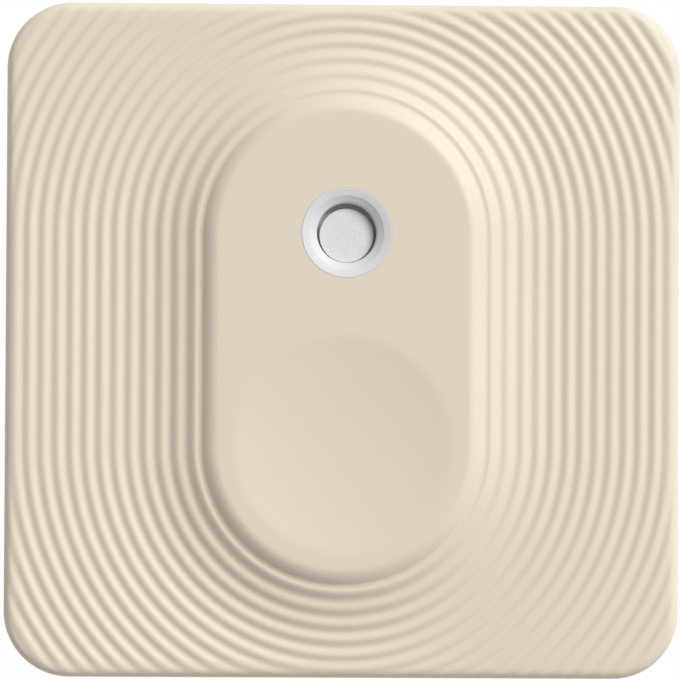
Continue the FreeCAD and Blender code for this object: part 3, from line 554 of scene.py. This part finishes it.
def make_back_shell():
    """The tray: outer edge rounded, a grooved wall that slides into the shell, and a coin notch."""
    wall, groove, play = 18.4 * MM, 0.5 * MM, 0.05 * MM
    inner = wall - 1.2 * MM
    top, wall_top, floor = 3.0 * MM, BACK_HIGH.z, 1.6 * MM
    seal_low, seal_high = SEAL_LOW.z - play, SEAL_HIGH.z + play
    piece = swept("back_shell", [
        (HALF - 1.4 * MM, 0), (HALF, 0, 1.0 * MM), (HALF, top, 0.12 * MM), (wall, top, 0.1 * MM),
        (wall, seal_low), (wall - groove, seal_low), (wall - groove, seal_high), (wall, seal_high),
        (wall, wall_top, 0.3 * MM), (inner, wall_top, 0.2 * MM), (inner, floor, 0.45 * MM),
        (inner - 0.6 * MM, floor),
    ])
    half, deep, tall = 3.5 * MM, 1.2 * MM, 0.9 * MM
    notch = block("coin_notch", (-half, -HALF - CUT_SPARE, top - tall),
                  (half, -HALF + deep, top + CUT_SPARE), edge=0.15 * MM)
    mark_radius, mark_depth, away = 1.2 * MM, 0.06 * MM, 14.2 * MM
    above = floor + CUT_SPARE
    marks = [rod("ejector_mark", mark_radius, Vector((x, y, 0)), floor - mark_depth, above,
                 steps=48) for x in (-away, away) for y in (-away, away)]
    seat_radius, seat_depth = 12.6 * MM, 0.08 * MM
    seat = rod("cell_seat", seat_radius, MIDDLE, floor - seat_depth, above, steps=160)
    cut(piece, [notch, seat, *marks])
    bpy.ops.object.shade_smooth_by_angle(angle=SOFT_ANGLE)
    return piece


def make_board():
    """The board's plate with rounded corners and a hole at each screw."""
    half, low, high = BOARD_HIGH.x, BOARD_LOW.z, BOARD_HIGH.z
    corner, hole = 1.5 * MM, 0.8 * MM
    piece = start_plane("board_plate", 2 * half, (0, 0, low))
    bpy.ops.mesh.bevel(offset=corner, segments=10, affect="VERTICES")
    bpy.ops.mesh.select_all(action="SELECT")
    bpy.ops.mesh.extrude_region_move(TRANSFORM_OT_translate={"value": (0, 0, high - low)})
    finish_edit()
    close_mesh(piece)
    below, above = low - CUT_SPARE, high + CUT_SPARE
    cut(piece, [rod("screw_hole", hole, place, below, above, steps=40) for place in SCREWS])
    bpy.ops.object.shade_smooth_by_angle(angle=SOFT_ANGLE)
    return piece


def make_track(name, start, jog, end):
    """A raised track under the mask: straight, a step at 45 degrees, and straight again."""
    x, y = start
    low, width, rise, share = BOARD_LOW.z, 0.28 * MM, 0.018 * MM, 0.45
    turn = y + (end - y) * share
    points = [(x, y), (x, turn), (x + jog, turn + abs(jog)), (x + jog, end)]
    piece = start_chain(name, [(px, py, low) for px, py in points])
    bpy.ops.mesh.select_all(action="SELECT")
    bpy.ops.mesh.extrude_region_move(TRANSFORM_OT_translate={"value": (width, 0, 0)})
    bpy.ops.mesh.select_all(action="SELECT")
    bpy.ops.mesh.extrude_region_move(TRANSFORM_OT_translate={"value": (0, 0, -rise)})
    finish_edit()
    return close_mesh(piece)


def make_land(name, place, inner, outer):
    """A bare plated ring on the underside of the board."""
    low = BOARD_LOW.z
    rise = 0.03 * MM
    return turned(name, [(inner, low), (inner, low - rise), (outer, low - rise, 0.02 * MM),
                         (outer, low)], place, steps=48, closed=True)


def make_screw(name, place):
    """A pan-head screw from below, with a cross recess."""
    head_low, low, high = SCREW_LOW.z, BOARD_LOW.z, SCREW_HIGH.z
    shank, tip, taper = 0.7 * MM, 0.4 * MM, 0.4 * MM
    piece = turned(name, [
        (0, head_low), (SCREW_HEAD, head_low, 0.5 * MM), (SCREW_HEAD, low, 0.06 * MM),
        (shank, low), (shank, high - taper), (tip, high), (0, high),
    ], place, steps=64)
    depth, arm, slim = 0.4 * MM, 0.75 * MM, 0.16 * MM
    bars = [block("recess", place + Vector((-a, -b, head_low - CUT_SPARE)),
                  place + Vector((a, b, head_low + depth)), edge=0.04 * MM, segments=2)
            for a, b in ((arm, slim), (slim, arm))]
    cut(piece, bars)
    bpy.ops.object.shade_smooth_by_angle(angle=SOFT_ANGLE)
    return piece


# Cell, holder and contacts
def make_cell_can():
    """The plus can: drawn cup with a recessed base and a crimped lip."""
    low, high, radius = CAN_LOW.z, CAN_HIGH.z, CAN_HIGH.x
    wall, lip = 0.35 * MM, 11.5 * MM
    base, base_radius, foot_radius = low + 0.06 * MM, 10.4 * MM, 10.6 * MM
    return turned("cell_can_finished", [
        (0, base), (base_radius, base, 0.2 * MM), (foot_radius, low, 0.2 * MM),
        (radius, low, 0.6 * MM), (radius, high, 0.55 * MM), (lip, high, 0.12 * MM),
        (lip, high - wall), (radius - wall, high - wall), (radius - wall, low + wall),
        (0, low + wall),
    ], MIDDLE, steps=192)


def make_cell_cap():
    """The minus cap, with a rolled edge and a shallow pressed ring."""
    low, high = CAP_LOW.z, CAP_HIGH.z
    seat, lid, wall = CAN_HIGH.z - 0.6 * MM, 11.25 * MM, 0.3 * MM
    outer, pressed = CAP_HIGH.x, high - 0.05 * MM
    return turned("cell_cap_finished", [
        (0, high), (9.6 * MM, high), (9.8 * MM, pressed, 0.2 * MM),
        (10.1 * MM, pressed, 0.2 * MM), (10.3 * MM, high), (lid, high, 0.35 * MM),
        (lid, seat, 0.1 * MM), (outer, seat, 0.1 * MM), (outer, low), (outer - wall, low),
        (outer - wall, seat - wall), (lid - wall, seat - wall), (lid - wall, high - wall),
        (0, high - wall),
    ], MIDDLE, steps=192)


def make_grommet():
    """The sealing ring that shows between can and cap."""
    high, seat = GROMMET_HIGH.z, CAN_HIGH.z - 0.35 * MM
    low, crown = high - 0.7 * MM, high + 0.05 * MM
    inner, outer, lip = 11.25 * MM, 11.9 * MM, 11.5 * MM
    return turned("cell_grommet_finished", [
        (inner, low), (outer, low), (outer, seat), (lip, seat), (lip, crown, 0.1 * MM),
        (inner, crown, 0.1 * MM),
    ], MIDDLE, steps=192, closed=True)


def make_holder():
    """The moulded ring that grips the cell, with finger notches and a slot for the contact."""
    inner, outer, window = 12.45 * MM, 13.55 * MM, 9.0 * MM
    low, high, web = HOLDER_LOW.z, HOLDER_HIGH.z, 0.4 * MM
    piece = turned("holder_ring", [
        (inner, low, 0.3 * MM), (outer, low, 0.25 * MM), (outer, high), (window, high),
        (window, high - web, 0.1 * MM), (inner, high - web, 0.1 * MM),
    ], MIDDLE, steps=192, closed=True)
    below, above = low - CUT_SPARE, high + CUT_SPARE
    half, ceiling, edge = 2.5 * MM, low + 2.6 * MM, 0.4 * MM
    near, far = 11 * MM, 15 * MM
    slot_half, slot_near = 1.9 * MM, 8 * MM
    tools = [block("notch", (near, -half, below), (far, half, ceiling), edge),
             block("notch", (-half, near, below), (half, far, ceiling), edge),
             block("notch", (-half, -far, below), (half, -near, ceiling), edge),
             block("contact_slot", (-far, -slot_half, below), (-slot_near, slot_half, above))]
    cut(piece, tools)
    bpy.ops.object.shade_smooth_by_angle(angle=SOFT_ANGLE)
    return piece


def prism(name, outline, half_width, edge):
    """A strip whose outline in x and z is drawn, extruded along y and bevelled."""
    points = rounded(outline, steps=6)
    piece = start_chain(name, [(p[0], -half_width, p[1]) for p in points])
    bpy.ops.mesh.select_all(action="SELECT")
    bpy.ops.mesh.edge_face_add()
    bpy.ops.mesh.extrude_region_move(TRANSFORM_OT_translate={"value": (0, 2 * half_width, 0)})
    bpy.ops.mesh.select_all(action="SELECT")
    bpy.ops.mesh.normals_make_consistent(inside=False)
    bpy.ops.mesh.bevel(offset=edge, segments=2, affect="EDGES", clamp_overlap=True)
    finish_edit()
    return close_mesh(piece)


def make_plus_spring():
    """The contact beside the cell: an upright strip with its foot bent along the board."""
    low, high, strip = PLUS_LOW.z, PLUS_HIGH.z, 0.25 * MM
    near, foot_end = PLUS_HIGH.x, PLUS_LOW.x
    far = near - strip
    return prism("plus_spring", [
        (near, low), (near, high, 0.5 * MM), (foot_end, high), (foot_end, high - strip),
        (far, high - strip, 0.25 * MM), (far, low),
    ], half_width=1.5 * MM, edge=0.03 * MM)


def make_minus_spring():
    """The contact under the board: a tongue that runs down to the cap."""
    low, high, reach, strip = MINUS_LOW.z, MINUS_HIGH.z, MINUS_HIGH.x, 0.25 * MM
    foot = 2.5 * MM
    return prism("minus_spring", [
        (-reach, high), (-reach, high - strip), (foot - reach, high - strip, 0.4 * MM),
        (reach - strip, low, 0.3 * MM), (reach, low), (reach, low + strip),
        (reach - strip, low + strip, 0.5 * MM), (foot - reach + strip, high, 0.6 * MM),
    ], half_width=1.6 * MM, edge=0.03 * MM)


# Shader maths on wrapped sockets
class Value:
    """One output socket in a node tree. Arithmetic on it adds Math nodes."""

    def __init__(self, owner, socket):
        self.owner, self.socket = owner, socket

    def maths(self, operation, *values):
        """The output of one Math node on some values."""
        return self.owner.node("ShaderNodeMath", {"operation": operation}, dict(enumerate(values)))

    def __add__(self, other):
        return self.maths("ADD", self, other)

    def __rsub__(self, other):
        return self.maths("SUBTRACT", other, self)

    def __mul__(self, other):
        return self.maths("MULTIPLY", self, other)

    __radd__, __rmul__ = __add__, __mul__


class Nodes:
    """The nodes and links of a material or of the world."""

    def __init__(self, owner):
        owner.use_nodes = True
        self.tree = owner.node_tree

    def feed(self, socket, value):
        """Link a wrapped value to a socket, or write a plain value on it."""
        if isinstance(value, Value):
            self.tree.links.new(value.socket, socket)
        else:
            socket.default_value = value

    def node(self, kind, settings=None, sockets=None, output=0):
        """Add a node with its settings and inputs, and wrap one of its outputs."""
        made = self.tree.nodes.new(kind)
        for name, value in (settings or {}).items():
            setattr(made, name, value)
        for name, value in (sockets or {}).items():
            self.feed(made.inputs[name], value)
        return Value(self, made.outputs[output])

    def blend(self, share, first, second):
        """A colour between two, by a share from 0 to 1."""
        return self.node("ShaderNodeMix", {"data_type": "RGBA"},
                         {0: share, 6: first, 7: second}, output=2)

    def seen_as(self, *kinds):
        """1 for rays of the given kinds, and otherwise 0."""
        first, *others = [self.node("ShaderNodeLightPath", output=kind) for kind in kinds]
        for other in others:
            first = first.maths("MAXIMUM", first, other)
        return first


class Finish(Nodes):
    """A material, with a principled shader whose even values are set on its own sockets."""

    def __init__(self, name, colour, roughness, metallic=0.0, **even):
        self.material = bpy.data.materials.new(name)
        super().__init__(self.material)
        self.shader = self.tree.nodes["Principled BSDF"]
        self.give("Base Color", (*colour, 1.0))
        self.give("Roughness", roughness)
        self.give("Metallic", metallic)
        for socket, value in even.items():
            self.give(socket.replace("_", " ").title().replace("Ior", "IOR"), value)
        self.place = self.node("ShaderNodeTexCoord", output="Object")

    def give(self, socket, value):
        """Set an input of the principled shader, by its name."""
        self.feed(self.shader.inputs[socket], value)

    def noise(self, grain, detail=2.0, place=None):
        """Noise from 0 to 1 whose features are about as wide as the grain."""
        return self.node("ShaderNodeTexNoise", None,
                         {"Vector": place or self.place, "Scale": 1 / grain, "Detail": detail})

    def stretched(self, scale):
        """The object's coordinates, scaled unevenly."""
        return self.node("ShaderNodeMapping", None, {"Vector": self.place, "Scale": scale})

    def relief(self, height, depth):
        """Bump the surface by a height from 0 to 1 times a depth."""
        self.give("Normal", self.node("ShaderNodeBump", None,
                                      {"Strength": 1.0, "Distance": depth, "Height": height}))


CREAM = (0.708, 0.627, 0.5125)


def shade(colour, factor):
    """A colour made darker or lighter, with full opacity."""
    return (*(c * factor for c in colour), 1.0)


def cream_plastic():
    """Matte moulded plastic with a fine spark-eroded grain."""
    speck, patch = 0.09 * MM, 6 * MM
    finish = Finish("cover_cream", CREAM, 0.5, specular_ior_level=0.45)
    grain = finish.noise(speck, detail=3.0)
    cloud = finish.noise(patch)
    finish.give("Base Color", finish.blend(cloud, shade(CREAM, 0.985), shade(CREAM, 1.015)))
    finish.give("Roughness", 0.46 + 0.12 * grain)
    finish.relief(grain, 0.0025 * MM)
    return finish.material


def moulded(name, colour, roughness, grain=0.15 * MM, depth=0.002 * MM):
    """Moulded plastic or rubber with an even, slightly mottled grain."""
    finish = Finish(name, colour, roughness, specular_ior_level=0.35)
    fine = finish.noise(grain)
    cloud = finish.noise(3 * MM)
    finish.give("Base Color", finish.blend(cloud, shade(colour, 0.93), shade(colour, 1.05)))
    finish.give("Roughness", roughness - 0.05 + 0.12 * fine)
    finish.relief(fine, depth)
    return finish.material


def drawn_metal(name, colour, roughness, stretch=(1, 1, 1), grain=0.06 * MM):
    """Metal with fine marks from rolling or drawing, narrower along an axis with a high stretch."""
    finish = Finish(name, colour, roughness, metallic=1.0)
    marks = finish.noise(grain, detail=3.0, place=finish.stretched(stretch))
    stains = finish.noise(2.5 * MM, detail=3.0)
    finish.give("Base Color", finish.blend(stains, shade(colour, 0.9), shade(colour, 1.04)))
    finish.give("Roughness", roughness - 0.06 + 0.16 * marks)
    finish.relief(marks, 0.0015 * MM)
    return finish.material


def pressed_powder(name, colour, grain=0.12 * MM):
    """Pressed grains with a dull, dusty surface."""
    finish = Finish(name, colour, 0.8, specular_ior_level=0.2)
    grains = finish.node("ShaderNodeTexVoronoi", {"feature": "F1"},
                         {"Vector": finish.place, "Scale": 1 / grain})
    finish.give("Base Color", finish.blend(grains, shade(colour, 1.06), shade(colour, 0.86)))
    finish.relief(1 - grains, 0.004 * MM)
    return finish.material


def board_green():
    """Green solder mask over a weave that shows faintly, glossier than the plastics."""
    colour, thread = (0.02, 0.16, 0.07), 1.6 * MM
    finish = Finish("board_green", colour, 0.32, coat_weight=0.25)
    along, across = [finish.node("ShaderNodeTexWave", {"wave_type": "BANDS", "bands_direction": way},
                                 {"Vector": finish.place, "Scale": 1 / thread})
                     for way in ("X", "Y")]
    weave = along * across
    cloud = finish.noise(2 * MM)
    tone = finish.blend(weave, shade(colour, 0.9), shade(colour, 1.15))
    finish.give("Base Color", finish.blend(0.35 * cloud, tone, shade(colour, 0.7)))
    finish.give("Roughness", 0.28 + 0.12 * cloud)
    finish.relief(weave, 0.0012 * MM)
    return finish.material


def clear_film():
    """Clear double-sided adhesive film."""
    finish = Finish("adhesive_clear", (0.82, 0.82, 0.78), 0.3, alpha=0.55)
    ripple = finish.noise(0.4 * MM)
    finish.give("Roughness", 0.25 + 0.2 * ripple)
    finish.relief(ripple, 0.002 * MM)
    return finish.material


FINISHES = {
    "cover_cream": cream_plastic(),
    "port_white": moulded("port_white", (0.675, 0.675, 0.675), 0.5, depth=0.001 * MM),
    "filter_white": pressed_powder("filter_white", (0.72, 0.72, 0.72), grain=0.08 * MM),
    "adhesive_clear": clear_film(),
    "boot_grey": moulded("boot_grey", (0.2, 0.2, 0.21), 0.7),
    "seal_dark": moulded("seal_dark", (0.035, 0.035, 0.037), 0.62),
    "board_green": board_green(),
    "chip_black": moulded("chip_black", (0.022, 0.022, 0.024), 0.5, grain=0.05 * MM),
    "crystal_steel": drawn_metal("crystal_steel", (0.72, 0.71, 0.68), 0.28),
    "antenna_white": moulded("antenna_white", (0.78, 0.78, 0.75), 0.35),
    "capacitor_tan": moulded("capacitor_tan", (0.42, 0.28, 0.17), 0.4),
    "resistor_black": moulded("resistor_black", (0.03, 0.03, 0.035), 0.35),
    "coil_grey": moulded("coil_grey", (0.12, 0.12, 0.13), 0.6),
    "switch_black": moulded("switch_black", (0.03, 0.03, 0.03), 0.45),
    "switch_steel": drawn_metal("switch_steel", (0.7, 0.69, 0.67), 0.3, stretch=(1, 12, 12)),
    "stem_brown": moulded("stem_brown", (0.16, 0.09, 0.05), 0.5),
    "screw_steel": drawn_metal("screw_steel", (0.6, 0.6, 0.6), 0.3),
    "holder_black": moulded("holder_black", (0.028, 0.028, 0.03), 0.55, grain=0.1 * MM),
    "contact_nickel": drawn_metal("contact_nickel", (0.78, 0.74, 0.66), 0.25, stretch=(1, 14, 14)),
    "cell_steel": drawn_metal("cell_steel", (0.6, 0.6, 0.59), 0.27, stretch=(1, 1, 8)),
    "grommet_black": moulded("grommet_black", (0.03, 0.03, 0.03), 0.5),
    "pellet_black": pressed_powder("pellet_black", (0.04, 0.04, 0.045)),
    "separator_white": moulded("separator_white", (0.82, 0.81, 0.78), 0.85, grain=0.2 * MM,
                               depth=0.006 * MM),
    "anode_metal": drawn_metal("anode_metal", (0.66, 0.66, 0.68), 0.5, stretch=(1, 4, 1)),
}

# CAD nodes whose shape is right, and the finish that each takes
KEPT = {
    "back_seal": "seal_dark", "filter_seal": "adhesive_clear", "sensor_boot": "boot_grey",
    "sensor_chip": "chip_black", "radio_chip": "chip_black", "memory_chip": "chip_black",
    "main_crystal": "crystal_steel", "clock_crystal": "crystal_steel",
    "chip_antenna": "antenna_white", "capacitors": "capacitor_tan", "resistors": "resistor_black",
    "filter_coils": "coil_grey", "switch_base": "switch_black", "switch_frame": "switch_steel",
    "switch_dome": "switch_steel", "switch_stem": "stem_brown", "cell_cathode": "pellet_black",
    "cell_separator": "separator_white", "cell_anode": "anode_metal",
}


def dress(piece, slot, body, *nodes):
    """Give a new piece its finish and its body, and hide the CAD nodes that it stands for."""
    piece.data.materials.clear()
    piece.data.materials.append(FINISHES[slot])
    if nodes:
        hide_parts(*nodes)
    if body:
        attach(piece, body)
    return piece


# Places and sizes of the tracks, lands and test pads on the board
TRACK_COUNT = 6
TRACK_FIRST = 4.4 * MM
TRACK_PITCH = 0.6 * MM
TRACK_START = -15.4 * MM
TRACK_STAGGER = 0.3 * MM
TRACK_JOG = 0.9 * MM
TRACK_END = 15.2 * MM
LAND_INNER = 0.85 * MM
LAND_OUTER = 2.0 * MM
PAD_COUNT = 5
PAD_X = 15.6 * MM
PAD_FIRST = 3.7 * MM
PAD_PITCH = 1.8 * MM
PAD_INNER = 0.16 * MM
PAD_OUTER = 0.55 * MM
PADS = [Vector((PAD_X, PAD_FIRST - PAD_PITCH * number, 0)) for number in range(PAD_COUNT)]

dress(make_front_shell(), "cover_cream", "housing", "front_cover")
press_dish = dress(make_press_dish(), "cover_cream", None, "press_pad")
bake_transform(press_dish)
dress(make_port_ring(), "port_white", "housing", "port_ring")
dress(make_vent_disc(), "filter_white", "housing", "vent_disc")
dress(make_back_shell(), "cover_cream", "base", "back_cover")
dress(make_board(), "board_green", "housing", "circuit_board")
for number in range(TRACK_COUNT):
    for side, word in ((-1, "left"), (1, "right")):
        start = (side * (TRACK_FIRST + TRACK_PITCH * number), TRACK_START + TRACK_STAGGER * number)
        track = make_track(f"track_{number + 1}_{word}", start, side * TRACK_JOG, TRACK_END)
        dress(track, "board_green", "housing")
lands = [make_land("screw_land_1", SCREWS[0], LAND_INNER, LAND_OUTER)]
screws = [make_screw("board_screw_1", SCREWS[0])]
for number, place in enumerate(SCREWS[1:], 2):
    lands.append(moved_copy(lands[0], f"screw_land_{number}", place - SCREWS[0]))
    screws.append(moved_copy(screws[0], f"board_screw_{number}", place - SCREWS[0]))
for land, screw in zip(lands, screws):
    dress(land, "contact_nickel", "housing")
    dress(screw, "screw_steel", "housing", "board_screws")
pads = [make_land("test_pad_1", PADS[0], PAD_INNER, PAD_OUTER)]
for number, place in enumerate(PADS[1:], 2):
    pads.append(moved_copy(pads[0], f"test_pad_{number}", place - PADS[0]))
for pad in pads:
    dress(pad, "contact_nickel", "housing")
dress(make_holder(), "holder_black", "housing", "cell_holder")
dress(make_plus_spring(), "contact_nickel", "housing", "plus_contact")
dress(make_minus_spring(), "contact_nickel", "housing", "minus_contact")
dress(make_cell_can(), "cell_steel", "cell", "cell_can")
dress(make_cell_cap(), "cell_steel", "cell", "cell_cap")
dress(make_grommet(), "grommet_black", "cell", "cell_grommet")
for node, slot in KEPT.items():
    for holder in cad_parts[node].material_slots:
        holder.material = FINISHES[slot]


# Floor, light and camera
WHITE = (1.0, 1.0, 1.0, 1.0)
FLOOR_SIZE = 4.0
FLOOR_LEVEL = -0.02 * MM
FLOOR_GREY = (0.86, 0.86, 0.86)
FLOOR_GLOW = 0.985
FILL = 0.42
FILL_TINT = (1.0, 0.965, 0.905, 1.0)
LAMP_AZIMUTH = math.radians(40)
LAMP_ELEVATION = math.radians(40)
LAMP_DISTANCE = 4.0
LAMP_SIZE = 1.6
LAMP_POWER = 157
LAMP_COLOUR = (0.945, 0.975, 1.0)
CAMERA_PLACE = (-6.0 * MM, -5.2 * MM, 265 * MM)
CAMERA_DEGREES = (1.189, -1.341, 0.3262)
CAMERA_LENS = 223.65
CAMERA_SENSOR = 36


def make_floor():
    """A floor that takes the sensor's shadow and looks almost white itself."""
    bpy.ops.object.select_all(action="DESELECT")
    bpy.ops.mesh.primitive_plane_add(size=FLOOR_SIZE, location=(0, 0, FLOOR_LEVEL))
    floor = bpy.context.object
    floor.name = "studio_floor"
    finish = Finish("studio_floor", FLOOR_GREY, 0.8)
    glow = finish.node("ShaderNodeEmission", None, {"Color": WHITE, "Strength": 1.0})
    seen = finish.seen_as("Is Camera Ray", "Is Glossy Ray", "Is Transmission Ray")
    dull = Value(finish, finish.shader.outputs[0])
    lit = finish.node("ShaderNodeMixShader", None, {0: seen * FLOOR_GLOW, 1: dull, 2: glow})
    finish.feed(finish.tree.nodes["Material Output"].inputs["Surface"], lit)
    floor.data.materials.append(finish.material)


def make_world():
    """A warm, weak fill from all round, which looks white to the camera and in reflections."""
    world = bpy.data.worlds.new("studio")
    bpy.context.scene.world = world
    nodes = Nodes(world)
    background = nodes.tree.nodes["Background"]
    seen = nodes.seen_as("Is Camera Ray", "Is Glossy Ray")
    strength = nodes.node("ShaderNodeMapRange", None, {"Value": seen, "To Min": FILL, "To Max": 1.0})
    nodes.feed(background.inputs["Strength"], strength)
    nodes.feed(background.inputs["Color"], nodes.blend(seen, FILL_TINT, WHITE))


def make_lamp():
    """A square area lamp aimed at the sensor."""
    level = math.cos(LAMP_ELEVATION)
    direction = Vector((math.cos(LAMP_AZIMUTH) * level, math.sin(LAMP_AZIMUTH) * level,
                        math.sin(LAMP_ELEVATION)))
    bpy.ops.object.select_all(action="DESELECT")
    bpy.ops.object.light_add(type="AREA", location=direction * LAMP_DISTANCE)
    lamp = bpy.context.object
    lamp.name = "key"
    lamp.rotation_euler = direction.to_track_quat("Z", "Y").to_euler()
    lamp.data.size = LAMP_SIZE
    lamp.data.energy = LAMP_POWER
    lamp.data.color = LAMP_COLOUR


def make_camera():
    """A long lens almost straight above the sensor."""
    bpy.ops.object.camera_add(location=CAMERA_PLACE)
    camera = bpy.context.object
    camera.rotation_euler = Euler([math.radians(angle) for angle in CAMERA_DEGREES])
    camera.data.lens = CAMERA_LENS
    camera.data.sensor_width = CAMERA_SENSOR
    bpy.context.scene.camera = camera


make_floor()
make_world()
make_lamp()
make_camera()
bpy.context.scene.view_settings.view_transform = "Standard"
